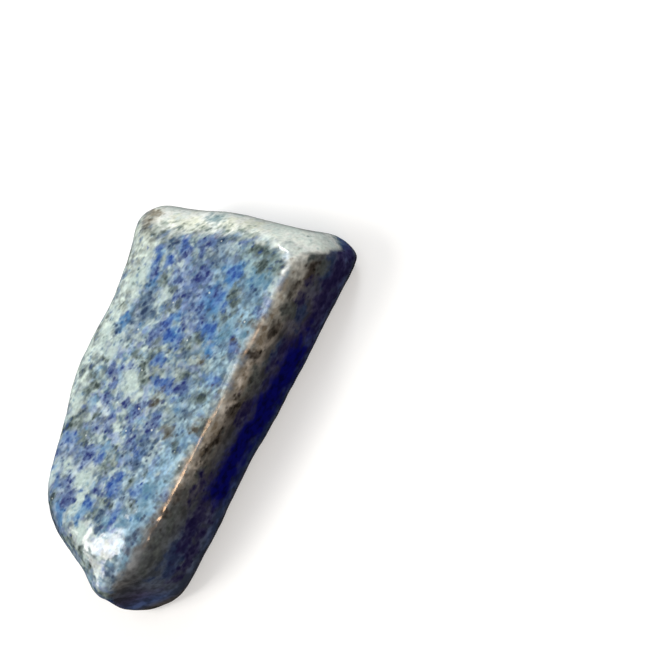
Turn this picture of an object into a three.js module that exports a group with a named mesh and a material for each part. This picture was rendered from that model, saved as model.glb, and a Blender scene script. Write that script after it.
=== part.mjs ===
// A tumble-polished slab of raw lapis lazuli: one solid stone, lying on its broad underside.
// Millimetres, +Z up. X runs along the stone, the steep long side faces -Y, and the origin is on the
// ground under the middle of the stone.

import * as THREE from 'three';
import { mergeVertices } from 'three/addons/utils/BufferGeometryUtils.js';

// Driving dimensions, in millimetres.
const LENGTH = 52;
const WIDTH = 27;
const THICKNESS = 12.6;
const EDGE_SOFTNESS = 0.42; // an edge between square faces wears to about 2.4 times this radius
const UNDERSIDE_LIFT = 0.25; // how far the underside clears the ground around the flat spot

// The net that is drawn onto the stone: how many strips along, across and up it.
const STRIPS = { along: 52, across: 30, up: 11 };
const EDGE_CROWDING = 0.55; // share by which the strips close up towards the edges, where the curves are

// The ends and sides of the block that the stone was worn from.
const TOP = THICKNESS;
const FRONT = -WIDTH / 2;
const BACK = WIDTH / 2;
const HEAD = LENGTH / 2;
const TOE = -LENGTH / 2;

// The flat-ish faces that bound the stone. Each goes through a point; its outward normal has a compass
// bearing in plan, from +X towards +Y, and rises above the horizontal, both in degrees.
const FACES = [
  { name: 'top', at: [0, 0, TOP], bearing: 0, rise: 90 },
  { name: 'underside', at: [0, 0, UNDERSIDE_LIFT], bearing: 0, rise: -90 },
  { name: 'front side', at: [0, FRONT + 0.1, 6], bearing: -90.7, rise: 4 },
  { name: 'front crest', at: [0, FRONT + 1, TOP], bearing: -90.7, rise: 45 },
  { name: 'front shoulder, toe end', at: [-12, FRONT + 0.6, 10], bearing: -97, rise: 15 },
  { name: 'front hem', at: [0, FRONT + 0.5, 1.4], bearing: -90.7, rise: -42 },
  { name: 'back side', at: [8, BACK - 2.1, 6], bearing: 95, rise: 6 },
  { name: 'back side, toe end', at: [-15, BACK - 6.6, 6], bearing: 106, rise: 8 },
  { name: 'back bevel', at: [8, BACK - 4.7, TOP], bearing: 94, rise: 60 },
  { name: 'back hem', at: [0, BACK - 1.4, 1.8], bearing: 95, rise: -45 },
  { name: 'head bevel', at: [19.0, 0, TOP], bearing: 18, rise: 52 },
  { name: 'head face', at: [24.4, -2, 4], bearing: 13, rise: 13 },
  { name: 'head corner', at: [21, FRONT + 2.2, TOP], bearing: -24, rise: 40 },
  { name: 'head front edge', at: [25.3, FRONT + 1.2, 5], bearing: -36, rise: 8 },
  { name: 'head hem', at: [HEAD - 1.0, -6, 1.8], bearing: 13, rise: -35 },
  { name: 'back toe corner', at: [-18.9, 4.6, 11], bearing: 130, rise: 24 },
  { name: 'toe slope', at: [-18.9, 2, TOP], bearing: 160, rise: 40 },
  { name: 'toe facet', at: [-18.6, -8.4, TOP], bearing: -152, rise: 67 },
  { name: 'toe strip', at: [-14.3, -9.9, TOP], bearing: -105, rise: 66 },
  { name: 'toe face', at: [TOE + 0.9, -4, 4], bearing: 158, rise: 10 },
  { name: 'toe corner', at: [TOE + 3.7, FRONT + 2.9, 4], bearing: -136, rise: 6 },
  { name: 'toe hem', at: [TOE + 1.4, -4, 1.8], bearing: 158, rise: -42 },
];

// Swells and hollows that tumbling left on those faces: where the middle is, how far each reaches
// along X, Y and Z (one sigma), and how high it stands or, below 0, how deep it sinks.
const SWELLS = [
  { name: 'flat spot', at: [0, -0.5, 0], reach: [9, 7, 3], high: 0.6 },
  { name: 'back head corner', at: [17.8, 11, 11], reach: [2.6, 2.6, 2.6], high: 0.8 },
  { name: 'back knee', at: [-2.5, 10, 11], reach: [3.6, 3, 4], high: 0.4 },
  { name: 'back hollow', at: [8, 10, 10], reach: [3, 3, 4], high: -0.25 },
  { name: 'front waist', at: [-3, FRONT, 3], reach: [4, 4, 4], high: -0.35 },
  { name: 'toe knob', at: [-24.4, -7.6, 8.8], reach: [1.3, 2, 1.3], high: 0.45 },
  { name: 'toe dip', at: [-22.8, -6.6, 10.8], reach: [1.1, 2.6, 1.2], high: -0.3 },
  { name: 'upper head ledge', at: [22.1, -4, 11.6], reach: [0.7, 5.5, 0.7], high: 0.28 },
  { name: 'lower head ledge', at: [24.1, -6, 8.4], reach: [0.8, 5, 0.8], high: 0.25 },
  { name: 'pit by the front crest', at: [-3.8, -8.4, TOP], reach: [1.2, 1, 1.6], high: -0.12 },
  { name: 'rise under the head', at: [12, -3, TOP], reach: [4, 3.4, 3], high: 0.15 },
  { name: 'hollow by the back', at: [9, 4, TOP], reach: [3, 2.6, 3], high: -0.28 },
  { name: 'rise in the middle', at: [1, -1, TOP], reach: [3.4, 3, 3], high: 0.2 },
  { name: 'hollow in the middle', at: [-6.5, 2.5, TOP], reach: [2.8, 3, 3], high: -0.25 },
  { name: 'rise by the toe', at: [-14, -4, TOP], reach: [3, 4, 3], high: 0.12 },
  { name: 'crest lump, head end', at: [13, FRONT + 0.6, 11.6], reach: [2.2, 1.6, 2], high: 0.18 },
  { name: 'crest notch', at: [8.6, FRONT + 0.6, 11.8], reach: [1.2, 1.4, 1.6], high: -0.25 },
  { name: 'crest lump, middle', at: [2.4, FRONT + 0.6, 11.6], reach: [2, 1.6, 2], high: 0.2 },
  { name: 'back ledge', at: [3, BACK - 1.6, 7.6], reach: [8, 2, 0.9], high: 0.35 },
  { name: 'hollow under the back ledge', at: [1, BACK - 1.6, 4.6], reach: [5, 2, 1.4], high: -0.5 },
  { name: 'back hollow, toe end', at: [-14, 7, 7.4], reach: [3, 2.4, 2.2], high: -0.55 },
  { name: 'back hollow, head end', at: [14, BACK - 2, 5.2], reach: [2.6, 2, 2.4], high: -0.45 },
  { name: 'head swell', at: [22.6, 1.6, 8.5], reach: [2.4, 3.6, 2.6], high: 0.75 },
  { name: 'head hollow', at: [23.6, 3, 5], reach: [2, 3.4, 2], high: -0.5 },
  { name: 'toe hollow', at: [-23.6, -1, 5.6], reach: [2, 2.6, 2], high: -0.45 },
];

// Settling a net point onto the surface by following the slope.
const SETTLING_ROUNDS = 25;
const LEAST_SLOPE_SQUARED = 0.2;
const SLOPE_STEP = 0.01;

// Evening out the net afterwards, so that no facet folds over its neighbour.
const EVENING_ROUNDS = 16;
const EVENING_SHARE = 0.5; // how far a point moves towards the mean of its neighbours

function normalOf({ bearing, rise }) {
  const [turn, lift] = [bearing, rise].map(THREE.MathUtils.degToRad);
  const level = Math.cos(lift);
  return new THREE.Vector3(level * Math.cos(turn), level * Math.sin(turn), Math.sin(lift));
}

const planes = FACES.map((face) => {
  const normal = normalOf(face);
  return { normal, offset: normal.dot(new THREE.Vector3(...face.at)) };
});

function swellAt(p) {
  let rise = 0;
  for (const { at, reach, high } of SWELLS) {
    const away = ((p.x - at[0]) / reach[0]) ** 2 + ((p.y - at[1]) / reach[1]) ** 2
      + ((p.z - at[2]) / reach[2]) ** 2;
    rise += high * Math.exp(-away / 2);
  }
  return rise;
}

// Below 0 inside the stone and above 0 outside it: the faces' heights, blended where they meet.
function heightAbove(p) {
  let sum = 0;
  for (const { normal, offset } of planes) {
    sum += Math.exp((normal.dot(p) - offset) / EDGE_SOFTNESS);
  }
  return EDGE_SOFTNESS * Math.log(sum) - swellAt(p);
}

function slopeAt(p) {
  const slope = new THREE.Vector3();
  for (const axis of ['x', 'y', 'z']) {
    const ahead = p.clone();
    const behind = p.clone();
    ahead[axis] += SLOPE_STEP;
    behind[axis] -= SLOPE_STEP;
    slope[axis] = (heightAbove(ahead) - heightAbove(behind)) / (2 * SLOPE_STEP);
  }
  return slope;
}

// Slides a point down the slope of heightAbove until it lies on the stone's surface.
function settle(p) {
  for (let round = 0; round < SETTLING_ROUNDS; round += 1) {
    const slope = slopeAt(p);
    p.addScaledVector(slope, -heightAbove(p) / Math.max(slope.lengthSq(), LEAST_SLOPE_SQUARED));
  }
  p.z = Math.max(p.z, 0); // the flat spot that the stone rests on
  return p;
}

function crowd(t) {
  return (1 - EDGE_CROWDING) * t + EDGE_CROWDING * Math.sin((t * Math.PI) / 2);
}

// The plan's corners, which the net starts from.
const PLAN = {
  frontToe: new THREE.Vector2(TOE, FRONT),
  frontHead: new THREE.Vector2(HEAD, FRONT),
  backToe: new THREE.Vector2(TOE + 5.5, BACK - 4),
  backHead: new THREE.Vector2(HEAD - 6, BACK),
};

// Takes a point of a cube from -1 to 1 to its place on the block.
function placeOnBlock(p) {
  const [along, across, up] = p.toArray().map(crowd);
  const front = PLAN.frontToe.clone().lerp(PLAN.frontHead, (along + 1) / 2);
  const back = PLAN.backToe.clone().lerp(PLAN.backHead, (along + 1) / 2);
  const plan = front.lerp(back, (across + 1) / 2);
  return p.set(plan.x, plan.y, (THICKNESS * (up + 1)) / 2);
}

// The points that each point of the net is joined to.
function neighboursIn(geometry) {
  const neighbours = Array.from({ length: geometry.getAttribute('position').count }, () => new Set());
  const corners = geometry.getIndex().array;
  for (let i = 0; i < corners.length; i += 3) {
    const [a, b, c] = corners.slice(i, i + 3);
    neighbours[a].add(b).add(c);
    neighbours[b].add(c).add(a);
    neighbours[c].add(a).add(b);
  }
  return neighbours;
}

// The points after each has moved towards the mean of its neighbours and settled again.
function evenedOut(points, neighbours) {
  return points.map((point, i) => {
    const mean = new THREE.Vector3();
    for (const j of neighbours[i]) {
      mean.addScaledVector(points[j], 1 / neighbours[i].size);
    }
    return settle(mean.lerp(point, 1 - EVENING_SHARE));
  });
}

function stoneGeometry() {
  const net = new THREE.BoxGeometry(2, 2, 2, STRIPS.along, STRIPS.across, STRIPS.up);
  net.deleteAttribute('normal');
  net.deleteAttribute('uv');
  const geometry = mergeVertices(net);
  const position = geometry.getAttribute('position');
  const neighbours = neighboursIn(geometry);
  let points = neighbours.map((_, i) => {
    const onCube = new THREE.Vector3().fromBufferAttribute(position, i);
    return settle(placeOnBlock(onCube));
  });
  for (let round = 0; round < EVENING_ROUNDS; round += 1) {
    points = evenedOut(points, neighbours);
  }
  points.forEach((point, i) => position.setXYZ(i, ...point));
  geometry.computeBoundingBox();
  const middle = geometry.boundingBox.getCenter(new THREE.Vector3());
  geometry.translate(-middle.x, -middle.y, 0);
  geometry.computeVertexNormals();
  return geometry;
}

const lapis = new THREE.MeshStandardMaterial({ color: 0x7c93a8, roughness: 0.25, metalness: 0 });

const stone = new THREE.Mesh(stoneGeometry(), lapis);
stone.name = 'lapis_stone';

const part = new THREE.Group();
part.name = 'rough_lapis_lazuli';
part.add(stone);

export default part;
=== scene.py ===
"""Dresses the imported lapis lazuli: fine relief, the rock's minerals, its polish, a studio and the camera.

Lengths are in millimetres, in the frame's axes, until they go into Blender, which takes metres.
Colours are red, green and blue from 0 to 255, as a screen shows them, except where they are called linear.

The stone's head is its broad end, towards +X, and its toe is the narrow one. Its front is the steep long
side, towards -Y, and its crest is the worn edge between the front and the top.
"""

import itertools
import math

import bmesh
import bpy
import numpy as np
from mathutils import Matrix, Vector


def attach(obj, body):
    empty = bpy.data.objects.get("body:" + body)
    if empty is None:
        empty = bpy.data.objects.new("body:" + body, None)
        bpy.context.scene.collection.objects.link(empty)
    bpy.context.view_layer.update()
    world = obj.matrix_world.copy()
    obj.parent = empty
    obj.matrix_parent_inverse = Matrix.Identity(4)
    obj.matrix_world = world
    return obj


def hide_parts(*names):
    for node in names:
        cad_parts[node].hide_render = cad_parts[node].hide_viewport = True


MM = 0.001


def linear(colour):
    """A screen colour as the linear RGBA that shaders take, by the sRGB curve."""
    shares = [part / 255 for part in colour]
    return (*(s / 12.92 if s <= 0.04045 else ((s + 0.055) / 1.055) ** 2.4 for s in shares), 1)


def smooth_step(share):
    """An even rise from 0 to 1 that starts and ends softly."""
    share = np.clip(share, 0, 1)
    return share * share * (3 - 2 * share)


# ---------------------------------------------------------------- camera

LEAN = math.radians(37)  # of the view, from straight down
ROLL = math.radians(63)  # of the picture, about the view
AIM = (15.2, -12.55, 0)  # what lies in the middle of the picture
DISTANCE = 400
PIXELS_PER_MM = 8.3  # at the aim
PHOTO_HEIGHT = 665  # pixels
SENSOR = 36
NEAREST = 10  # nothing nearer to the camera shows


def add_camera():
    back = Vector((0, -math.sin(LEAN), math.cos(LEAN)))
    level_right = Vector((1, 0, 0))
    level_up = back.cross(level_right)
    right = math.cos(ROLL) * level_right - math.sin(ROLL) * level_up
    up = math.sin(ROLL) * level_right + math.cos(ROLL) * level_up
    data = bpy.data.cameras.new("camera")
    data.sensor_width = SENSOR
    data.lens = PIXELS_PER_MM * DISTANCE * SENSOR / PHOTO_HEIGHT
    data.clip_start = NEAREST * MM
    camera = bpy.data.objects.new("camera", data)
    turn = Matrix((right, up, back)).transposed()
    camera.matrix_world = Matrix.Translation((Vector(AIM) + DISTANCE * back) * MM) @ turn.to_4x4()
    bpy.context.scene.collection.objects.link(camera)
    bpy.context.scene.camera = camera


# ---------------------------------------------------------------- floor and light

FLOOR_SIDE = 4000
FLOOR_LOOKS = {
    "Base Color": (0.62, 0.62, 0.62, 1),
    "Emission Color": (1, 1, 1, 1),
    "Emission Strength": 0.42,  # lightens the stone's shadow
    "Roughness": 0.9,
    "Specular IOR Level": 0.1,
}

# An even pale room above, and a dim one below, which the stone's sides mirror. The one turns into the other
# between two heights of a direction, which is -1 straight down and 1 straight up.
SKY_COLOUR = (0.97, 0.985, 1, 1)  # linear
SKY_LOW, SKY_HIGH = -0.25, 0.35
SKY_DIM, SKY_BRIGHT = 0.02, 0.45

# The lights face the stone from LIGHT_DISTANCE away. A row gives a light's name, its azimuth from +X
# towards +Y and its height above level in degrees, its two sides, its radiance and its colour.
LIGHT_DISTANCE = 600
SOFTBOXES = [
    ("window", 138, 53, (240, 250), 11.2, (255, 252, 246)),
    ("far_window", 15, 37, (180, 160), 14, (246, 251, 252)),
    ("ceiling", 62, 80, (70, 70), 9, (255, 255, 255)),
]
# Fills light the stone, but its polish doesn't mirror them.
FILLS = [
    ("warm_fill", -95, 46, (300, 300), 2.2, (255, 226, 194)),
]
# Cards show only where the polish mirrors them, as the warm one does along the crest.
CARDS = [
    ("low_card", 147, 24, (180, 240), 6, (255, 252, 246)),
    ("warm_card", -102, 31, (80, 190), 21, (255, 208, 164)),
    ("high_card", -55, 60, (300, 340), 8, (250, 250, 246)),
]


def add_floor():
    bpy.ops.mesh.primitive_plane_add(size=FLOOR_SIDE * MM)
    floor = bpy.context.object
    floor.name = "floor"
    material = bpy.data.materials.new("pale_floor")
    material.use_nodes = True
    shader = material.node_tree.nodes["Principled BSDF"]
    for name, value in FLOOR_LOOKS.items():
        shader.inputs[name].default_value = value
    floor.data.materials.append(material)
    floor.visible_diffuse = False
    floor.visible_glossy = False


def add_sky():
    world = bpy.data.worlds.new("room")
    world.use_nodes = True
    graph = Graph(world.node_tree)
    direction = graph.add("ShaderNodeTexCoord").outputs["Generated"]
    height = graph.add("ShaderNodeSeparateXYZ", Vector=direction).outputs["Z"]
    strength = graph.ramp(height, SKY_LOW, SKY_HIGH, SKY_DIM, SKY_BRIGHT)
    background = world.node_tree.nodes["Background"]
    background.inputs["Color"].default_value = SKY_COLOUR
    graph.link(strength, background.inputs["Strength"])
    bpy.context.scene.world = world


def add_light(name, azimuth, height, size, radiance, colour):
    data = bpy.data.lights.new(name, "AREA")
    data.shape = "RECTANGLE"
    data.size, data.size_y = (side * MM for side in size)
    data.energy = radiance * math.pi * data.size * data.size_y
    data.color = linear(colour)[:3]
    turn, lift = math.radians(azimuth), math.radians(height)
    towards = Vector((math.cos(lift) * math.cos(turn), math.cos(lift) * math.sin(turn), math.sin(lift)))
    light = bpy.data.objects.new(name, data)
    light.location = towards * LIGHT_DISTANCE * MM
    light.rotation_mode = "QUATERNION"
    light.rotation_quaternion = towards.to_track_quat("Z", "Y")
    bpy.context.scene.collection.objects.link(light)
    return light


def add_studio():
    add_floor()
    add_sky()
    for row in SOFTBOXES:
        add_light(*row)
    for row in FILLS:
        add_light(*row).visible_glossy = False
    for row in CARDS:
        add_light(*row).visible_diffuse = False


# ---------------------------------------------------------------- node graphs

SEED_SHIFT = (13.7, -7.9, 5.3)  # how far each step of a seed moves a noise

# A Mix node has sockets for each type of value. These are the numbers of those for colours.
MIX_FIRST, MIX_SECOND, MIX_RESULT = 6, 7, 2


class Graph:
    """Short ways to add nodes to a tree. A value is a node's output or a plain number."""

    def __init__(self, tree):
        self.tree = tree

    def link(self, value, socket):
        if isinstance(value, bpy.types.NodeSocket):
            self.tree.links.new(value, socket)
        else:
            socket.default_value = value

    def add(self, kind, settings=None, **inputs):
        node = self.tree.nodes.new(kind)
        for name, value in (settings or {}).items():
            setattr(node, name, value)
        for name, value in inputs.items():
            self.link(value, node.inputs[name])
        return node

    def math(self, operation, first, second=0.0):
        node = self.add("ShaderNodeMath", {"operation": operation})
        self.link(first, node.inputs[0])
        self.link(second, node.inputs[1])
        return node.outputs[0]

    def times(self, first, second):
        return self.math("MULTIPLY", first, second)

    def sum(self, *terms):
        total = terms[0]
        for term in terms[1:]:
            total = self.math("ADD", total, term)
        return total

    def weighted(self, values, weights):
        """The sum of the values, each times its weight."""
        return self.sum(*(self.times(value, weight) for value, weight in zip(values, weights)))

    def swing(self, noise, width):
        """A noise spread about 0, from -width / 2 to width / 2."""
        return self.math("SUBTRACT", self.times(noise, width), width / 2)

    def ramp(self, value, low, high, to_low=0.0, to_high=1.0):
        """Turns softly from `to_low`, where the value is `low`, to `to_high`, where it is `high`."""
        node = self.add("ShaderNodeMapRange", {"interpolation_type": "SMOOTHSTEP"}, Value=value)
        ends = {"From Min": low, "From Max": high, "To Min": to_low, "To Max": to_high}
        for name, number in ends.items():
            node.inputs[name].default_value = number
        return node.outputs[0]

    def blend(self, share, first, second):
        """A colour: the first where share is 0, the second where it is 1."""
        node = self.add("ShaderNodeMix", {"data_type": "RGBA"})
        self.link(share, node.inputs[0])
        for value, number in ((first, MIX_FIRST), (second, MIX_SECOND)):
            self.link(linear(value) if isinstance(value, tuple) else value, node.inputs[number])
        return node.outputs[MIX_RESULT]

    def scaled(self, vector, factor):
        """A place or a colour, times a value."""
        node = self.add("ShaderNodeVectorMath", {"operation": "SCALE"}, Vector=vector, Scale=factor)
        return node.outputs[0]

    def shifted(self, place, seed):
        node = self.add("ShaderNodeVectorMath", {"operation": "ADD"}, Vector=place)
        node.inputs[1].default_value = [seed * part for part in SEED_SHIFT]
        return node.outputs[0]

    def drawn_out(self, place, stretch, bearing=0):
        """A place in which noises are drawn out along axes that are turned by a bearing in degrees."""
        node = self.add("ShaderNodeMapping", {"vector_type": "TEXTURE"}, Vector=place)
        node.inputs["Rotation"].default_value = (0, 0, math.radians(bearing))
        node.inputs["Scale"].default_value = stretch
        return node.outputs[0]

    def noise(self, place, size, detail, seed):
        """Even noise, 0 to 1 about 0.5, with lumps about `size` across."""
        spot = self.shifted(place, seed)
        return self.add("ShaderNodeTexNoise", Vector=spot, Scale=1 / size, Detail=detail).outputs["Fac"]

    def spots(self, place, size, seed):
        """Distance from the nearest of many scattered spots, as a share of the usual way between two."""
        spot = self.shifted(place, seed)
        return self.add("ShaderNodeTexVoronoi", Vector=spot, Scale=1 / size).outputs["Distance"]

    def attribute(self, name, output="Fac"):
        return self.add("ShaderNodeAttribute", {"attribute_name": name}).outputs[output]


# ---------------------------------------------------------------- where the minerals lie

# Each mineral's patches. On the top they are (x, y, radius, radius), and round ones (x, y, radius).
TOP_HEIGHT = 12.4
TOP_DEPTH = 2.6  # how far a patch of the top reaches down over the edges

TOP_PATCHES = {
    "indigo": [
        (13.7, -0.4, 0.5, 0.7), (14.1, -1.75, 0.35), (12.7, -0.9, 0.5, 0.6), (11, -0.9, 0.7, 0.4),
        (10.6, 0.6, 0.4, 0.3), (11.1, -2.9, 0.5, 0.4), (11.2, -3.3, 0.6, 0.4), (10.6, -3.6, 0.3),
        (12.6, -2.8, 0.5, 0.2), (10.6, -2.3, 0.4, 0.25), (9.2, -2.4, 0.6, 0.3), (9.4, -3.1, 0.5, 0.3),
        (9.4, -4.6, 0.3), (12.3, 5.5, 0.35), (13.6, 4.6, 0.4, 0.25), (14.9, 3.1, 0.4, 0.25),
        (15.4, 2.9, 0.25), (15.7, 2.4, 0.4, 0.3), (13.5, 2.6, 0.35, 0.25), (14.6, 1.6, 0.35, 0.25),
        (12.7, 1.6, 0.2), (18.1, 0.8, 0.5, 0.3), (17.6, 0.2, 0.8, 0.35), (18.3, -0.2, 0.5, 0.4),
        (15.1, -1.2, 0.5, 0.4), (13.4, -4.6, 0.35, 0.2), (8.6, -10.5, 0.5, 0.4),
        (13.4, -11.6, 0.4, 0.5), (-1.9, 3.2, 0.45, 0.35), (-1, 4.3, 0.25), (-0.3, 4.5, 0.3),
        (-0.7, 3.6, 0.5, 0.4), (-0.1, 3.1, 0.4, 0.25), (0.8, 2.3, 0.45, 0.35), (-4.1, 3.2, 0.45, 0.5),
        (-7.6, 3, 0.5, 0.45), (-5.9, 1.7, 0.35), (-6.9, 1.1, 0.5, 0.35), (-3.3, 0.3, 0.35),
        (-3, 1.6, 0.3), (-5.4, -1.6, 0.4, 0.3), (-6.3, -2, 0.3), (-7, -2.7, 0.6, 0.5),
        (-3.3, -1.6, 0.5, 0.3), (-2.5, -1.9, 0.25), (-2.2, -3.1, 0.35, 0.4), (-3.5, -4.5, 0.6, 0.2),
        (-3.2, -4.9, 0.7, 0.4), (1.3, -5.9, 0.5), (2, -6.5, 0.6, 0.5), (5, 1.5, 0.5, 0.35),
        (5.5, 1, 0.6, 0.3), (6.3, 0.8, 0.4, 0.3), (-12.8, 5.6, 0.5, 0.4), (-12.5, 6.2, 0.6, 0.3),
        (-11.2, 3, 0.5, 0.35), (-10.9, 2.5, 0.4), (-12.3, 3.1, 0.3), (-15.3, 2.6, 0.3),
        (-14.6, 2.4, 0.6, 0.4), (-17.3, 1.6, 0.5, 0.4), (-16.5, 1.4, 0.4, 0.5), (-17.2, 2.1, 0.7, 0.4),
        (-12.6, 2, 0.5, 0.4), (-11, 1.8, 0.6, 0.5), (-13.9, -2.1, 0.3, 0.5), (-12.7, -11.6, 0.3),
        (-10.9, -11.5, 0.25),
    ],
    "navy": [
        (9.5, 4.8, 1, 0.5), (8.5, 4.9, 0.8, 0.5), (16.3, 5.2, 0.35), (16.6, 4.6, 0.4, 0.5),
        (16.2, -0.1, 0.5, 0.3), (15.3, -0.5, 0.6, 0.4), (19.3, -1.5, 0.6, 0.4), (16.5, -1.7, 0.7, 0.3),
        (17.4, -2.3, 0.5, 0.3), (18.6, -0.5, 0.4), (15, -9.4, 0.6, 0.5), (-8.5, -3.8, 0.5),
        (-6.2, -5.4, 0.8, 0.5), (-6.9, -6.5, 0.6, 0.4), (-5.4, -6.4, 0.4, 0.3), (5.6, 4.7, 0.5),
        (7, 4.5, 0.8, 0.4), (7.9, 4.3, 0.8, 0.6), (7.7, 3.4, 0.6, 0.5), (4.2, 6.7, 0.3, 0.4),
        (5.2, -4.6, 0.5), (0.7, -7.2, 0.2), (0, -7.2, 0.3), (-0.7, -8.5, 0.3), (-4.9, -8.1, 0.4),
        (-3, -8.5, 0.4), (8, -9.1, 0.4, 0.3), (-16.5, -4.3, 0.5, 0.3), (-18.1, -5, 0.4, 0.3),
        (-13.3, -6.3, 0.4), (-9, -5.4, 0.6, 0.4), (-22.4, -8.4, 0.6, 0.4), (-24.2, -10.6, 0.5, 0.4),
        (-17.5, -9.7, 1.2, 0.25), (-19.8, -10.9, 0.6, 0.3),
    ],
    "royal": [
        (17, 3.4, 0.5, 0.6), (16.6, 2.9, 0.5, 0.4), (12.9, -5.6, 0.6), (12.5, -6.1, 0.5, 0.4),
        (16.3, -5.6, 0.8, 0.6), (9, -5.5, 0.5), (9.1, -6.3, 0.6, 0.4), (13, 6.1, 0.6, 0.25),
        (14, 6.3, 0.5, 0.25), (14.4, 4.3, 0.35), (-8, -5.2, 0.5, 0.6), (1, -3.6, 0.4, 0.5),
        (1.4, -4.1, 0.5, 0.4), (0.8, -2.6, 0.5, 0.3), (0.2, -4.9, 0.35, 0.6), (3.1, -1.5, 0.4, 0.6),
        (7, 0.2, 0.4), (7.8, -0.3, 0.5, 0.4), (6.3, -0.9, 0.7, 0.6), (6.4, -2.3, 0.6, 0.4),
        (4, -9.9, 0.5, 0.7), (8.7, -10.4, 0.4), (-12.6, -3.9, 0.65, 0.8), (-11.3, -4.1, 0.6, 0.4),
        (-12.9, -4.5, 0.5, 0.4), (-16.3, -1.8, 0.6, 0.3), (-12.2, -7.3, 0.3, 0.5),
        (-12, -7.9, 0.4, 0.5), (-16, -6.1, 0.7, 0.3), (-10.2, 5.5, 0.5, 0.7), (-15.8, 4.2, 0.5, 0.3),
        (-10.4, 0.5, 0.5, 0.4),
    ],
    "azure": [
        (10.9, 5.2, 0.6, 0.3), (12.3, -4.8, 1.6, 1.1), (16.2, -5.8, 1.2, 0.9), (8.7, -6, 0.9, 1.2),
        (6.5, -1.5, 0.7, 0.5), (5, 6.4, 0.8, 0.6), (7, -7.4, 0.5, 0.4), (8.6, -0.6, 0.4),
        (-17, -1.4, 0.8, 0.4), (-18.3, 2.2, 0.5), (-19, 1.6, 0.5),
    ],
    "sky": [
        (9.5, -8.5, 1.5, 1), (17, -9.5, 2, 1.2), (12, -11.3, 1.6, 0.6), (-17.3, -6, 1.2, 1),
        (-16.5, -7.2, 1.2, 0.8), (-11, -8.8, 1.6, 1), (-13.5, -9.2, 1.6, 0.7), (-15.5, -8.3, 1, 0.5),
        (-19, -9.7, 1.5, 0.4),
    ],
    "olive": [
        (11, -7.1, 0.6), (14.4, -6.8, 0.8), (10.5, -5.6, 0.5), (13, -7.7, 0.6, 0.4), (18.6, -9, 1, 0.8),
        (19.2, -11, 0.8, 0.6), (20.3, -7, 0.6, 0.8), (20.3, -9, 0.5, 0.8), (12.1, 4.1, 0.5),
        (9.8, -0.2, 0.5, 0.3), (8.8, 0.9, 0.3), (11.6, 1.5, 0.4), (18.4, 3.1, 0.4, 0.3),
        (17, 6.9, 0.3, 0.4), (16.9, 7.6, 0.3), (16.7, 8.5, 0.2), (-8.6, 6.4, 0.6, 0.4),
        (-7.6, 5.4, 0.6, 0.4), (-3.9, 6.3, 0.6, 0.5), (-3, 5.8, 0.4), (-2.2, 6.7, 0.3),
        (-1.5, 7.5, 0.4, 0.2), (0.2, 6.5, 0.3), (-2.4, 8.6, 0.3, 0.2), (-6.6, 3.8, 0.3),
        (0.3, -0.8, 0.6, 0.5), (1.2, -2, 0.3, 0.5), (2.2, -2.7, 0.4, 0.3), (1.6, 0.5, 0.3),
        (2.6, 2.2, 0.5), (3.6, 0, 0.4, 0.3), (4.4, -0.3, 0.5, 0.4), (6.5, -3.3, 0.4, 0.2),
        (6, -4.9, 0.6, 0.5), (7.5, -5.5, 0.6, 0.5), (2.8, -6.3, 0.6, 0.5), (2.4, -5.6, 0.5, 0.3),
        (-1.8, -11.6, 0.8, 0.3), (-0.5, -12.4, 0.6, 0.3), (-6.5, -11.5, 0.8, 0.4),
        (-5.2, -9.5, 0.4, 0.3), (1.5, -9.7, 0.55, 0.75), (-20.9, -0.7, 0.3, 0.4),
        (-21.4, -3.2, 0.3, 0.6), (-21.5, -4.3, 0.3), (-22, -5.3, 0.6, 0.3), (-9.8, 3.5, 0.5, 0.7),
        (-9.3, 6.8, 0.7, 0.3), (-11.3, -1.4, 0.5, 0.3), (-8.7, -1.6, 0.3), (-16.2, -3, 0.4, 0.2),
        (-17, 3.7, 1, 0.4), (-14.9, -4, 0.3, 0.5), (-11.4, -6.1, 0.5, 0.3), (-13.8, -7.9, 0.3),
    ],
    "brown": [
        (-1.2, -3.8, 0.5, 0.3), (5.3, -7.2, 0.5), (-2, -10.5, 0.8, 0.5), (-3.9, -7.5, 0.8, 0.9),
        (17, 10.5, 0.6, 0.5),
    ],
    "pale": [
        (-14, 1.2, 1.4, 1), (-13.2, 0.3, 1, 0.7), (-13.5, 3.7, 0.7, 0.5), (-15, 5.4, 0.6, 0.2),
        (-15.3, -0.3, 1.5, 0.4), (-19.5, -2.6, 1.3, 1.2), (-1, 1, 1.6, 0.8), (1.5, 5.6, 1.2, 0.5),
        (10.5, 7.8, 2, 0.7), (3, 7.9, 2, 0.6), (-5.5, 7.2, 1, 0.4), (9.8, 2.6, 0.8, 0.5),
    ],
}

# On the front they are (x, z, radius, radius).
FRONT = -13.1  # its y
FRONT_DEPTH = 1.4  # how far in its patches reach

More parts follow.
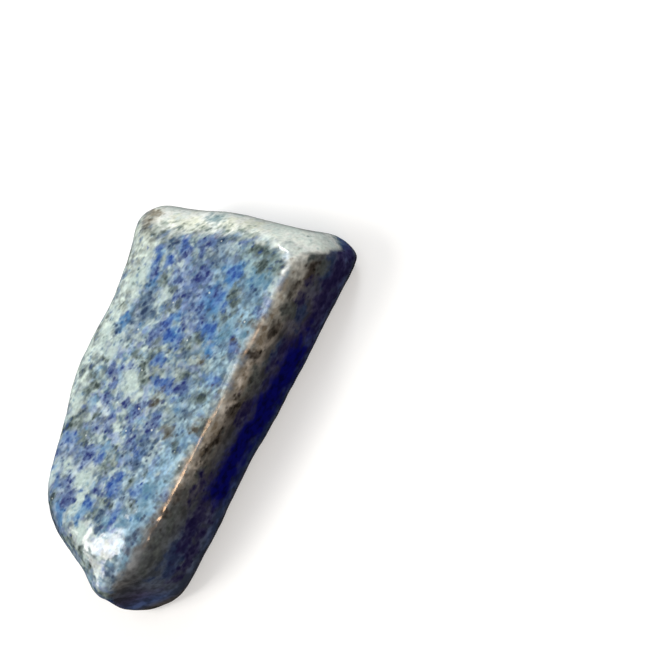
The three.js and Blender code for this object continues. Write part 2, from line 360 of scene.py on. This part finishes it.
FRONT_PATCHES = {
    "ultramarine": [
        (-7.6, 5.3, 1.4, 1.75), (-5, 5.3, 3, 1.7), (-1, 5.2, 5, 1.6), (4, 4.9, 5, 1.6),
        (9, 4.4, 4, 1.5),
    ],
    "ink": [
        (-13, 6.6, 3.5, 1.1), (-8, 8.6, 1.5, 0.7), (17.2, 8.4, 0.5, 0.6), (19.5, 8, 0.4, 0.4),
        (2.2, 8, 1.2, 0.7), (14.5, 5.1, 1.6, 0.6), (18.5, 4.9, 3, 0.9), (22, 4.6, 2.4, 0.9),
        (24.8, 3.8, 1, 1.4), (10.5, 7, 2, 0.6), (-16, 4.5, 3, 0.5), (18.5, 3.4, 5, 0.6),
    ],
    "slate_and_painted_reflection": [
        # the two low patches along the foot are partly slate rock and partly painted reflection of light
        # there
        (1, 2.9, 6, 0.6), (9, 2.5, 4, 0.4), (-17.5, 6.6, 4, 1.3), (-21.5, 7.4, 3, 1.6),
        (10, 7.8, 1.2, 0.4), (22, 6.2, 1.6, 0.6), (15.5, 7.2, 1.2, 0.6),
    ],
    "tan": [
        (-6.8, 12.2, 2.6, 0.5), (-3, 12.1, 2, 0.55), (1.6, 12.3, 0.9, 0.5), (4.6, 11.9, 1.4, 0.8),
        (6.9, 12.1, 0.8, 0.6), (14, 12, 1.5, 0.8), (10.8, 11.6, 0.9, 0.7), (-0.8, 11.3, 1.2, 0.6),
        (6.2, 10.8, 0.8, 0.4), (17, 12, 1, 0.6), (19.5, 12.3, 0.8, 0.4),
    ],
    "brown": [
        (8.8, 11.2, 0.6, 0.7), (8.6, 12.3, 0.6, 0.5), (12.4, 10.2, 0.8, 0.5), (12.2, 12.2, 0.6, 0.4),
        (18, 10.2, 0.8, 0.4), (20.8, 8.8, 0.9, 0.6), (-12, 11.4, 2, 0.3), (3.2, 10, 1.6, 0.5),
        (-3.2, 10.3, 2, 0.6), (2.6, 12.8, 0.5, 0.4), (-1.3, 12.7, 0.6, 0.3),
    ],
    "ash": [
        (-20, 9.8, 3.5, 0.7), (-14, 10.4, 2.4, 0.6), (-6, 9.8, 2, 0.4), (6.5, 9.4, 1.6, 0.6),
        (15.5, 9.4, 1, 0.8), (21.5, 7.6, 1, 0.7), (22.2, 9.6, 0.6, 0.7),
    ],
}

# On the head's bevel, and on the sides that lie out of sight from the camera, they are (centre, radii).
SIDE_PATCHES = {
    "sand": [
        ((17.8, 11, 11.4), (1.4, 1.3, 1.5)),
    ],
    "moss": [
        ((17.4, 7.4, 12), (0.4, 1, 0.8)), ((18.6, 5.2, 12), (0.3, 0.9, 0.8)),
        ((19.6, 2.2, 12), (0.4, 0.7, 0.8)), ((20.6, -0.6, 11.8), (0.3, 0.9, 0.8)),
        ((21.4, -3.4, 11.9), (0.3, 1, 0.8)),
    ],
    "butter": [
        ((19.2, 5.6, 11.4), (1.2, 2.4, 1)), ((21.4, -0.6, 11), (0.9, 1.4, 1)),
        ((22.4, -3.8, 10.8), (1.2, 2.2, 1)), ((22.9, -7.6, 10.6), (1.3, 2.4, 1.3)),
    ],
    "mist": [
        ((21.3, 2.2, 10.4), (0.6, 1.2, 0.8)),
    ],
    "frost": [
        ((22.2, -9.8, 11), (1.2, 1.8, 1.4)), ((23.8, -11.2, 8.5), (1, 1, 2)),
        ((21.6, -6.6, 11.9), (0.8, 2, 0.8)), ((20.4, 10.8, 9.4), (1, 1.6, 1.2)),
        ((23.4, -7.4, 9.8), (1.6, 3, 1.8)),
    ],
    "royal": [
        ((-6, 11.5, 4.6), (6, 3, 1.3)), ((14, 13, 4), (5, 3, 1.2)), ((25, 2.5, 4.4), (2.5, 4, 1.3)),
        ((-25, -4, 6), (2, 4, 1.2)), ((-20, 6, 4), (3, 3, 1.2)), ((4, 2, 0), (9, 3, 1.3)),
        ((-14, -6, 0), (6, 2.4, 1.3)), ((16, -8, 0), (5, 2, 1.3)),
    ],
    "indigo": [
        ((25.3, -11.2, 3.2), (1, 1.4, 1.2)), ((2, 12.5, 6), (4, 2, 0.8)), ((-22, 2, 8), (2, 2.5, 1)),
        ((24, 5, 6.5), (2, 2.5, 0.9)), ((10, 7, 0), (4, 2, 1.2)), ((-12, 9, 3.4), (3, 3, 0.8)),
    ],
    "pale": [
        ((6, 12.5, 8.2), (5, 2, 0.8)), ((-12, 8.5, 6.6), (4, 2, 0.8)), ((-24.5, 0, 3), (2, 3, 1)),
        ((24.5, -3, 6.4), (2, 3, 0.7)), ((-4, 8, 0), (6, 2, 1)), ((8, -5, 0), (5, 1.6, 1)),
    ],
    "brown": [
        ((-2, 12.5, 2), (5, 2, 0.9)), ((18, 12, 6.6), (2.4, 2, 1.1)), ((-8, 3, 0), (5, 2, 1.2)),
        ((-24, 3, 4.6), (1.6, 1.6, 0.8)),
    ],
}

# The light bevel at the head begins at this line along the top and reaches down to HEAD_FOOT. Below
# HEAD_LINE_TOP, where the line runs down the sides, it draws back towards the head.
HEAD_LINE_Y = (-12.4, -11.6, -10.7, -9.5, -8, -6, -4.5, -3, -1.5, 0, 1.2, 3, 4.5, 6, 8, 10.5)
HEAD_LINE_X = (20.4, 20.9, 21.5, 21.9, 21.9, 21.8, 21.5, 21.1, 20.6, 20, 19.5, 18.9, 18.1, 17.6, 17.3, 17.6)
HEAD_LINE_TOP = TOP_HEIGHT - 1
HEAD_LINE_SLANT = 0.5  # mm back for each mm down
HEAD_FOOT = 5

# The front's own rock begins where y + z falls below these sums, from the toe to the head.
CREST_X = (-28, -24.6, -22, -18, -14, -10, -4, 4, 20.4, 21.2, 22.1, 23.1, 24.8)
CREST_SUM = (-3, 0.7, 1.2, 1.5, 0.8, 0.4, 0.1, -0.25, -0.25, 0.3, -1.7, -4, -7.6)

OUT_OF_REACH = -2.0  # no depth counts as less than this


def all_patches():
    """Each patch as the name of its mineral, a centre and three radii."""
    for name, patches in TOP_PATCHES.items():
        for x, y, *radii in patches:
            yield name, (x, y, TOP_HEIGHT), (radii[0], radii[-1], TOP_DEPTH)
    for name, patches in FRONT_PATCHES.items():
        for x, z, *radii in patches:
            yield name, (x, FRONT, z), (radii[0], FRONT_DEPTH, radii[-1])
    for name, patches in SIDE_PATCHES.items():
        for centre, radii in patches:
            yield name, centre, radii


def radii_away(points, centre, radii):
    """Each point's distance from an ellipsoid's centre, as a share of its radius that way."""
    return np.sqrt((((points - centre) / radii) ** 2).sum(axis=1))


def mineral_depths(points):
    """Each point's depth in each mineral's patches, in mm along their smallest radius, below 0 outside."""
    depths = {}
    for name, centre, radii in all_patches():
        depth = (1 - radii_away(points, centre, radii)) * min(radii)
        depths[name] = np.maximum(depths.get(name, OUT_OF_REACH), depth)
    return depths


def bevel_depth(points):
    """How deep in the light bevel each point lies, and below 0 outside it."""
    x, y, z = points.T
    drawn_back = HEAD_LINE_SLANT * np.maximum(HEAD_LINE_TOP - z, 0)
    past_line = x - np.interp(y, HEAD_LINE_Y, HEAD_LINE_X) - drawn_back
    return np.maximum(np.minimum(past_line, z - HEAD_FOOT), OUT_OF_REACH)


def front_depth(points):
    """How far past the crest each point lies in the front's rock, and below 0 before the crest."""
    x, y, z = points.T
    return np.clip(np.interp(x, CREST_X, CREST_SUM) - y - z, OUT_OF_REACH, -OUT_OF_REACH)


# ---------------------------------------------------------------- broad tints

# Broad tints of the rock between the grains, and one painted highlight along the crest by the head, as a
# colour, a centre, three radii and a strength.
TINTS_AND_PAINTED_HIGHLIGHT = [
    ((186, 199, 190), (4, 8.8, 12), (15, 2.2, 3), 0.8),
    ((190, 200, 190), (15, 9.5, 12), (4, 2.4, 3), 0.8),
    ((105, 145, 178), (13.5, -6.2, 12.6), (5.5, 4, 3), 0.6),
    ((122, 148, 152), (18.8, -8.5, 12.6), (2.6, 4.2, 3), 0.7),
    ((124, 160, 182), (8, -10.2, 12.4), (9, 1.9, 3), 0.6),
    ((126, 166, 192), (-9, -9.4, 12.4), (9, 1.8, 3), 0.65),
    ((142, 176, 200), (-18, -9.4, 12), (4, 1.4, 3), 0.7),
    ((168, 184, 176), (-0.6, 0.8, 12.6), (2.6, 1.8, 3), 0.6),
    ((110, 128, 168), (-16, 3, 12.4), (4.2, 2.4, 3), 0.5),
    ((105, 122, 165), (-11, 5.4, 12.4), (2.6, 1.5, 3), 0.5),
    ((190, 200, 205), (-13.8, 0.9, 12.6), (3, 1.7, 3), 0.5),
    ((176, 180, 174), (-19.6, -2.4, 12), (2, 2, 3), 0.7),
    ((92, 112, 165), (12.6, -0.6, 12.6), (3.6, 3, 3), 0.45),
    ((110, 120, 118), (5.2, -5.2, 12.6), (4, 1.8, 3), 0.45),
    ((136, 142, 134), (1.5, -2.6, 12.6), (2, 2.2, 3), 0.35),
    ((135, 168, 200), (-12.5, -7, 12.4), (5, 2.2, 3), 0.4),
    ((142, 148, 140), (-7.6, 6, 12.2), (2.6, 1.3, 3), 0.5),
    ((166, 190, 210), (-23, -9, 10.8), (1.8, 1.8, 2), 0.75),
    ((150, 160, 165), (23.4, -11.5, 9), (2, 2, 3), 0.8),
    ((74, 78, 132), (25.5, -11, 2.8), (1.4, 2, 1.4), 0.85),
    ((112, 130, 158), (-20.4, 3, 12), (2, 3, 3), 0.5),
    ((108, 124, 148), (-12, 3.2, 12.4), (1.6, 1.2, 3), 0.5),
    ((98, 114, 138), (7, 4.8, 12.4), (4.4, 1.5, 3), 0.5),
    ((86, 110, 152), (6, 0.6, 12.4), (2, 1.4, 3), 0.4),
    ((86, 108, 136), (-6, -5.2, 12.4), (2, 1.2, 3), 0.5),
    ((100, 120, 146), (18.2, -2, 12.4), (2.2, 2, 3), 0.5),
    ((180, 194, 200), (-6.4, 2.8, 12.4), (2, 1.6, 3), 0.65),
    ((96, 128, 150), (0, -7.4, 12.4), (4, 1.4, 3), 0.5),
    # painted highlight: a pale line along the crest by the head, standing in for the white highlight of the
    # polish there
    ((236, 240, 238), (20.3, -11.7, 12.3), (1.6, 0.4, 0.6), 0.8),
    ((156, 162, 152), (16.6, 9.6, 11.8), (1.8, 2.2, 2), 0.75),
]

# The front's own rock: its layers, from the foot to the crest, as a height and a colour, and its tints. The
# lighter blue layer near the foot is partly slate rock and partly painted reflection of light along the
# foot.
FRONT_LAYERS_AND_PAINTED_REFLECTION = [
    # the lighter blue layer at 3 mm is partly slate rock and partly painted reflection of light along the
    # foot
    (1.6, (92, 89, 88)), (3, (78, 98, 146)), (5.2, (80, 78, 108)), (7.6, (84, 88, 100)),
    (8.8, (98, 98, 100)), (10.1, (184, 176, 165)), (10.9, (224, 217, 207)), (12, (186, 186, 180)),
]
FRONT_TINTS = [
    ((98, 108, 124), (-20, FRONT, 6.4), (10, 3, 4.2), 0.85),
    ((88, 94, 100), (-14.5, FRONT, 10.4), (8.5, 3, 1.8), 0.9),
    ((88, 93, 98), (-20, -10.5, 11.2), (9, 4, 2.6), 0.9),
    ((192, 196, 190), (18.5, FRONT, 11), (7, 3, 1.5), 0.8),
    ((106, 104, 112), (15, FRONT, 7.4), (3, 3, 1.6), 0.7),
    ((220, 212, 198), (-4.4, FRONT + 0.5, 11.4), (3, 3, 1.2), 0.6),
    ((68, 66, 68), (0, FRONT, 9.3), (2.6, 3, 1.1), 0.6),
]

# A tint is whole out to one share of its radii, and gone at the other.
TINT_WHOLE, TINT_GONE = 0.55, 1.35
LEAST_TINT = 1e-6  # keeps the mix a number where no tint reaches


def tint_colours(points, tints):
    """The mix of the tints at each point as linear RGB, with its strength as alpha."""
    colours = np.zeros((len(points), 4))
    for colour, centre, radii, strength in tints:
        away = radii_away(points, centre, radii)
        share = strength * smooth_step((TINT_GONE - away) / (TINT_GONE - TINT_WHOLE))
        kept = colours[:, 3] * (1 - share)
        mixed = np.array(linear(colour)[:3]) * share[:, None] + colours[:, :3] * kept[:, None]
        colours[:, :3] = mixed / np.maximum(share + kept, LEAST_TINT)[:, None]
        colours[:, 3] = share + kept
    return colours


def front_casts(points):
    """The linear RGB of the front's layers at each point, one of them partly painted reflection, under its
    tints.
    """
    heights, casts = zip(*FRONT_LAYERS_AND_PAINTED_REFLECTION)
    parts = np.array([linear(cast)[:3] for cast in casts]).T
    layers = np.stack([np.interp(points[:, 2], heights, part) for part in parts], axis=1)
    tints = tint_colours(points, FRONT_TINTS)
    return layers * (1 - tints[:, 3:]) + tints[:, :3] * tints[:, 3:]


# ---------------------------------------------------------------- fine relief

# Layers of smooth lumps, as a height and a size.
RELIEF_LUMPS = [(0.055, 2.6), (0.035, 1.3), (0.016, 0.7), (0.01, 0.45)]
LUMPS_TURN = Matrix.Rotation(0.6, 3, Vector((1, 2, 3)))  # keeps them off the stone's own axes

# The pits that the photo shows, as a centre, a radius and a depth, and the ones scattered at random.
PITS = [
    ((1.5, -9.7, 12.5), 0.5, 0.08),
    ((8.9, -13, 11.6), 0.5, 0.15),
]
SCATTERED_PITS = 220
SCATTER_SEED = 5
PIT_RADII = (0.15, 0.5)
PIT_DEPTHS = (0.1, 0.2)  # as a share of the radius

# The relief leaves the flat underside alone. It sets in at RELIEF_FOOT and is whole RELIEF_FADE above it.
RELIEF_FOOT = 0.03
RELIEF_FADE = 0.25


def lumps(points, size, seed):
    """Smooth noise from -1 to 1 at each point, with lumps about `size` across."""
    turned = points @ np.array(LUMPS_TURN)
    spot = (turned - turned.min(axis=0)) / size
    corner = np.floor(spot).astype(int)
    share = smooth_step(spot - corner)
    heights = np.random.default_rng(seed).uniform(-1, 1, corner.max(axis=0) + 2)
    total = np.zeros(len(points))
    for step in itertools.product((0, 1), repeat=3):
        weight = np.where(step, share, 1 - share).prod(axis=1)
        total += weight * heights[tuple((corner + step).T)]
    return total


def pit(points, centre, radius, depth):
    """How far a soft, round pit sinks each point."""
    return depth * np.exp(-((points - centre) ** 2).sum(axis=1) / radius**2)


def relief(points):
    """How far each point moves out along its normal."""
    rise = sum(height * lumps(points, size, seed) for seed, (height, size) in enumerate(RELIEF_LUMPS, 1))
    draw = np.random.default_rng(SCATTER_SEED)
    for index in draw.choice(len(points), SCATTERED_PITS, replace=False):
        radius = draw.uniform(*PIT_RADII)
        depth = draw.uniform(*PIT_DEPTHS) * radius
        rise -= pit(points, points[index], radius, depth)
    for centre, radius, depth in PITS:
        rise -= pit(points, centre, radius, depth)
    return rise * smooth_step((points[:, 2] - RELIEF_FOOT) / RELIEF_FADE)


# ---------------------------------------------------------------- the stone

SAME_PLACE = 1e-7  # metres between points that become one
QUAD_ANGLE = math.radians(60)  # how far from flat and square two triangles may be to become one face
DOUBLINGS = 2  # of the lines each way


def fine_copy(node):
    """A smooth, finer copy of the solid's mesh."""
    mesh = node.data.copy()
    work = bmesh.new()
    work.from_mesh(mesh)
    bmesh.ops.remove_doubles(work, verts=work.verts, dist=SAME_PLACE)
    bmesh.ops.join_triangles(
        work, faces=work.faces, angle_face_threshold=QUAD_ANGLE, angle_shape_threshold=QUAD_ANGLE
    )
    work.to_mesh(mesh)
    work.free()
    coarse = bpy.data.objects.new("coarse", mesh)
    bpy.context.scene.collection.objects.link(coarse)
    finer = coarse.modifiers.new("finer", "SUBSURF")
    finer.levels = finer.render_levels = DOUBLINGS
    bpy.context.view_layer.update()
    fine = bpy.data.meshes.new_from_object(coarse.evaluated_get(bpy.context.evaluated_depsgraph_get()))
    bpy.data.objects.remove(coarse)
    fine.materials.clear()
    fine.polygons.foreach_set("use_smooth", [True] * len(fine.polygons))
    return fine


def read_vectors(collection, name, count):
    values = np.empty(count * 3, dtype=np.float32)
    collection.foreach_get(name, values)
    return values.reshape(-1, 3).astype(float)


def write(mesh, name, kind, field, values):
    mesh.attributes.new(name, kind, "POINT").data.foreach_set(field, values.astype(np.float32).ravel())


def make_stone(node):
    """The stone in fine relief, with the depths and tints that its material reads at each point."""
    mesh = fine_copy(node)
    count = len(mesh.vertices)
    points = read_vectors(mesh.vertices, "co", count) / MM
    normals = read_vectors(mesh.vertex_normals, "vector", count)
    depths = {**mineral_depths(points), "bevel": bevel_depth(points), "front": front_depth(points)}
    for name, values in depths.items():
        write(mesh, name, "FLOAT", "value", values)
    # the tints carry one painted highlight along the crest by the head
    write(mesh, "tint", "FLOAT_COLOR", "color", tint_colours(points, TINTS_AND_PAINTED_HIGHLIGHT))
    write(mesh, "front_cast", "FLOAT_VECTOR", "vector", front_casts(points))
    points += normals * relief(points)[:, None]
    points[:, 2] = np.maximum(points[:, 2], 0)  # nothing reaches below the ground
    mesh.vertices.foreach_set("co", (points * MM).astype(np.float32).ravel())
    mesh.update()
    stone = bpy.data.objects.new("stone", mesh)
    bpy.context.scene.collection.objects.link(stone)
    return stone


# ---------------------------------------------------------------- the rock

# Each mineral gathers in and around its patches. Its row gives the depth (mm, below 0) at which it still
# shows far from them, how strongly it clouds the rock, and the colours of that haze and of its grains.
TOP_MINERALS = [
    ("pale", -0.9, 0.75, (198, 214, 210), (176, 196, 192)),
    ("sky", -0.95, 0.6, (126, 164, 186), (80, 124, 150)),
    ("azure", -0.95, 0.75, (80, 136, 182), (32, 94, 154)),
    ("olive", -0.85, 0.75, (108, 124, 118), (38, 54, 52)),
    ("royal", -0.95, 0.75, (80, 122, 176), (20, 62, 140)),
    ("navy", -1.0, 0.65, (86, 114, 140), (20, 46, 80)),
    ("indigo", -1.0, 0.65, (96, 126, 176), (16, 34, 100)),
    ("brown", -1.4, 0.55, (124, 122, 108), (62, 60, 52)),
]
BEVEL_MINERALS = [
    ("butter", -1.0, 0.6, (255, 255, 240), (240, 244, 222)),
    ("frost", -1.0, 0.8, (251, 255, 248), (234, 246, 238)),
    ("mist", -1.0, 0.55, (188, 208, 208), (140, 166, 172)),
    ("moss", -1.0, 0.6, (178, 192, 180), (108, 124, 112)),
    ("sand", -1.1, 0.5, (214, 208, 188), (150, 140, 120)),
]
FRONT_MINERALS = [
    ("slate_and_painted_reflection", -1.4, 0.75, (68, 90, 134), (40, 56, 96)),
    ("ash", -1.1, 0.75, (120, 128, 126), (78, 86, 86)),
    ("brown", -1.5, 0.75, (100, 92, 84), (48, 42, 36)),
    ("tan", -1.8, 0.6, (196, 186, 168), (140, 128, 110)),
    ("ink", -1.2, 0.8, (62, 54, 104), (32, 26, 76)),
]

# The dark and the pale end of each kind of rock, and the colour of the painted glints.
MATRIX_ENDS = ((66, 92, 112), (190, 208, 204))
BEVEL_ENDS = ((178, 204, 196), (252, 255, 250))
CORE_ENDS = ((0, 0, 78), (8, 10, 122))
# painted glints: pale specks that stand in for sparkles of light off the polish
PAINTED_GLINT = (226, 234, 228)

# Soft clouds of other hues in the rock, as a colour, a strength and a size.
MATRIX_HUES = [((120, 164, 200), 0.6, 1.6), ((122, 130, 118), 0.5, 1.4), ((124, 140, 194), 0.5, 1.2)]
BEVEL_HUES = [((232, 236, 208), 0.35, 1.8), ((190, 214, 212), 0.5, 1.8)]

# Sizes of the noises that the whole stone shares, and of the others.
BROAD, MIDDLE, SMALL, FINE = 3.4, 1.3, 0.75, 0.38
WIDE_GRAINS, CLOSE_GRAINS = 1.15, 0.72  # the usual ways between two
PAINTED_GLINT_SPACING = 2.2
PATCH_EDGE_SIZE = 1.1
THIN_LAYER, THICK_LAYER = 0.9, 2.2  # of the bevel
FRONT_MOTTLE = 1.3

# Weights in the sums that give each kind of rock its tone, the core its extent and the bumps their height.
MATRIX_WEIGHTS = (0.5, 1, 1)  # broad, middle and small noise
BEVEL_WEIGHTS = (0.6, 0.5, 0.3)  # thin layers, thick layers and small noise
FRONT_WEIGHTS = (0.4, 1, 0.5)  # broad noise, the front's mottle and small noise
CORE_WEIGHTS = (1, 2, 0.6)  # depth, middle and small noise
BUMP_WEIGHTS = (0.3, 0.5, 0.6)  # fine, small and middle noise

# How far the noises are drawn out along x, y and z, once these are turned by a bearing in degrees.
STREAK_STRETCH, STREAK_BEARING = (1.28, 0.92, 1), -22
BEVEL_STRETCH, BEVEL_BEARING = (2.4, 1, 1.4), 60
FRONT_STRETCH = (1 / 0.7, 1, 1)

# How far, in mm, noise moves the edge of a patch, of the bevel and of the front's rock.
PATCH_SWING = 2.8
BEVEL_SWING = 3.4
FRONT_BROAD_SWING, FRONT_MIDDLE_SWING = 1.2, 3

# Ramps: the two values that each turns between and, unless they are 0 and 1, what it turns from and to.
GRAIN_STRENGTH = (0.32, 0.62, 0.6, 1)  # by the small noise
GRAIN_SOFTNESS = (-0.32, 0.42)  # across a grain's own edge
GRAIN_REACH = (-0.8, 1, 0.42, 1.05)  # by the depth in a mineral: how wide its grains are
GRAIN_EDGE = (-1, -0.2)  # by the same depth: where the grains set in
HAZE_EDGE = (-0.8, 0.4)  # and where the haze does
HUE_EDGE = (0.48, 0.66)
MATRIX_TONE = (0.98, 1.52)
TINT_TONE = (*MATRIX_TONE, 0.42, 1.4)
BEVEL_TONE = (0.42, 0.68)
BEVEL_EDGE = (-1.2, 0.9)
PAINTED_GLINT_EDGE = (0.08, 0.04, 0, 0.6)  # by the distance from a painted glint's middle
FRONT_TONE = (0.75, 1.2, 0.55, 1.5)
FRONT_EDGE = (-1, 0.8)
CORE_TONE = (0.3, 0.6)
CORE_EDGE = (0.1, 1.8)
FINE_SHADE = (0.3, 0.7, 0.92, 1.08)
POLISH = (0.3, 0.7, 0.09, 0.18)  # the roughness, by the middle noise
CREST_WEAR = (0.5, 1.2, 0.17, 0)  # what is added to it, by the distance from the worn line

BEVEL_STRENGTH = 0.94  # how fully it hides the rock of the top
GRAIN_FRAY = 0.5  # how much the fine noise moves the grains' edges
WORN_LINE = -0.6  # the depth in the front at which the crest is least polished
IOR = 1.58
BUMP_STRENGTH = 0.4
BUMP_HEIGHT = 0.025


class Rock:
    """The noises and places that the whole stone shares, and the kinds of rock that they make."""

    def __init__(self, graph):
        self.graph = graph
        metres = graph.add("ShaderNodeTexCoord").outputs["Object"]
        self.place = graph.scaled(metres, 1 / MM)
        self.streaked = graph.drawn_out(self.place, STREAK_STRETCH, STREAK_BEARING)
        self.broad = graph.noise(self.place, BROAD, detail=2, seed=1)
        self.middle = graph.noise(self.streaked, MIDDLE, detail=2, seed=2)
        self.small = graph.noise(self.streaked, SMALL, detail=1, seed=3)
        self.fine = graph.noise(self.streaked, FINE, detail=1, seed=4)
        wide = graph.spots(self.streaked, WIDE_GRAINS, seed=5)
        close = graph.spots(self.streaked, CLOSE_GRAINS, seed=6)
        self.from_grain = graph.sum(graph.math("MINIMUM", wide, close), graph.times(self.fine, GRAIN_FRAY))
        self.grain_strength = graph.ramp(self.small, *GRAIN_STRENGTH)

    def add_minerals(self, colour, minerals, seed):
        """Lays each mineral over a colour: sparse dark grains at its fringe, crowded ones at its heart."""
        graph = self.graph
        for index, (name, far, strength, haze, speck) in enumerate(minerals):
            ragged = graph.noise(self.streaked, PATCH_EDGE_SIZE, detail=2, seed=seed + index)
            nearest = graph.math("MAXIMUM", graph.attribute(name), far)
            depth = graph.sum(nearest, graph.swing(ragged, PATCH_SWING))
            colour = graph.blend(graph.times(graph.ramp(depth, *HAZE_EDGE), strength), colour, haze)
            in_grain = graph.math("SUBTRACT", graph.ramp(depth, *GRAIN_REACH), self.from_grain)
            grains = graph.times(graph.ramp(in_grain, *GRAIN_SOFTNESS), self.grain_strength)
            colour = graph.blend(graph.times(grains, graph.ramp(depth, *GRAIN_EDGE)), colour, speck)
        return colour

    def add_hues(self, colour, hues, place, seed):
        """Clouds a colour with soft, scattered hues."""
        graph = self.graph
        for index, (hue, strength, size) in enumerate(hues):
            cloud = graph.ramp(graph.noise(place, size, detail=2, seed=seed + index), *HUE_EDGE)
            colour = graph.blend(graph.times(cloud, strength), colour, hue)
        return colour

    def add_painted_glints(self, colour):
        """Painted glints: tiny pale specks, far apart, that stand in for sparkles of light off the polish.
        """
        from_painted_glint = self.graph.spots(self.place, PAINTED_GLINT_SPACING, seed=9)
        return self.graph.blend(self.graph.ramp(from_painted_glint, *PAINTED_GLINT_EDGE), colour, PAINTED_GLINT)

    def matrix(self):
        """The pale rock between the minerals: mottled from grey-blue to greenish white, under broad tints
        that carry one painted highlight.
        """
        graph = self.graph
        tone = graph.weighted((self.broad, self.middle, self.small), MATRIX_WEIGHTS)
        colour = graph.blend(graph.ramp(tone, *MATRIX_TONE), *MATRIX_ENDS)
        colour = self.add_hues(colour, MATRIX_HUES, self.place, seed=60)
        # the tints hold one painted highlight, a pale line along the crest by the head
        tint = graph.scaled(graph.attribute("tint", "Color"), graph.ramp(tone, *TINT_TONE))
        return graph.blend(graph.attribute("tint", "Alpha"), colour, tint)

    def add_bevel(self, colour):
        """The light, layered rock of the head's bevel."""
        graph = self.graph
        layered = graph.drawn_out(self.place, BEVEL_STRETCH, BEVEL_BEARING)
        thin = graph.noise(layered, THIN_LAYER, detail=3, seed=50)
        thick = graph.noise(layered, THICK_LAYER, detail=2, seed=51)
        tone = graph.weighted((thin, thick, self.small), BEVEL_WEIGHTS)
        pale = graph.blend(graph.ramp(tone, *BEVEL_TONE), *BEVEL_ENDS)
        pale = self.add_hues(pale, BEVEL_HUES, layered, seed=52)
        pale = self.add_minerals(pale, BEVEL_MINERALS, seed=150)
        depth = graph.sum(graph.attribute("bevel"), graph.swing(self.middle, BEVEL_SWING))
        return graph.blend(graph.times(graph.ramp(depth, *BEVEL_EDGE), BEVEL_STRENGTH), colour, pale)

    def front(self):
        """The front's own mottled rock, with its blue core."""
        graph = self.graph
        layered = graph.drawn_out(self.place, FRONT_STRETCH)
        mottled = graph.noise(layered, FRONT_MOTTLE, detail=3, seed=70)
        tone = graph.weighted((self.broad, mottled, self.small), FRONT_WEIGHTS)
        rock = graph.scaled(graph.attribute("front_cast", "Vector"), graph.ramp(tone, *FRONT_TONE))
        rock = self.add_minerals(rock, FRONT_MINERALS, seed=100)
        core = graph.weighted((graph.attribute("ultramarine"), self.middle, self.small), CORE_WEIGHTS)
        blue = graph.blend(graph.ramp(self.small, *CORE_TONE), *CORE_ENDS)
        return graph.blend(graph.ramp(core, *CORE_EDGE), rock, blue)

    def add_front(self, colour):
        """Lays the front's rock over a colour, from the crest down."""
        graph = self.graph
        broad = graph.swing(self.broad, FRONT_BROAD_SWING)
        middle = graph.swing(self.middle, FRONT_MIDDLE_SWING)
        past_crest = graph.sum(graph.attribute("front"), broad, middle)
        return graph.blend(graph.ramp(past_crest, *FRONT_EDGE), colour, self.front())

    def colour(self):
        top = self.add_minerals(self.matrix(), TOP_MINERALS, seed=10)
        # lays on the painted glints, tiny pale specks that stand in for the polish's sparkle
        whole = self.add_front(self.add_painted_glints(self.add_bevel(top)))
        return self.graph.scaled(whole, self.graph.ramp(self.fine, *FINE_SHADE))

    def roughness(self):
        """The polish, which is duller in some places and worn along the crest."""
        graph = self.graph
        from_worn_line = graph.math("ABSOLUTE", graph.sum(graph.attribute("front"), -WORN_LINE))
        return graph.sum(graph.ramp(self.middle, *POLISH), graph.ramp(from_worn_line, *CREST_WEAR))

    def fine_texture(self):
        """Normals of the finest texture, which is too low for the mesh."""
        height = self.graph.weighted((self.fine, self.small, self.middle), BUMP_WEIGHTS)
        bump = self.graph.add("ShaderNodeBump", Height=height)
        bump.inputs["Strength"].default_value = BUMP_STRENGTH
        bump.inputs["Distance"].default_value = BUMP_HEIGHT * MM
        return bump.outputs[0]


def lapis_material():
    material = bpy.data.materials.new("lapis")
    material.use_nodes = True
    graph = Graph(material.node_tree)
    rock = Rock(graph)
    shader = material.node_tree.nodes["Principled BSDF"]
    graph.link(rock.colour(), shader.inputs["Base Color"])
    graph.link(rock.roughness(), shader.inputs["Roughness"])
    graph.link(rock.fine_texture(), shader.inputs["Normal"])
    shader.inputs["IOR"].default_value = IOR
    return material


# ---------------------------------------------------------------- the scene

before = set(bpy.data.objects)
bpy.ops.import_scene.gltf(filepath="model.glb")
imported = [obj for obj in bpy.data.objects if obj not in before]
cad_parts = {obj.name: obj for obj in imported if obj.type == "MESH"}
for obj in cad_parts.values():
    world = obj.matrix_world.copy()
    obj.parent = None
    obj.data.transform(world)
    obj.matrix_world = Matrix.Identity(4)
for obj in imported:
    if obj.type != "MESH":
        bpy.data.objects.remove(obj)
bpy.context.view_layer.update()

add_camera()
add_studio()
stone = make_stone(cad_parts["lapis_stone"])
stone.data.materials.append(lapis_material())
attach(stone, "root")
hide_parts("lapis_stone")
bpy.context.scene.view_settings.view_transform = "Standard"
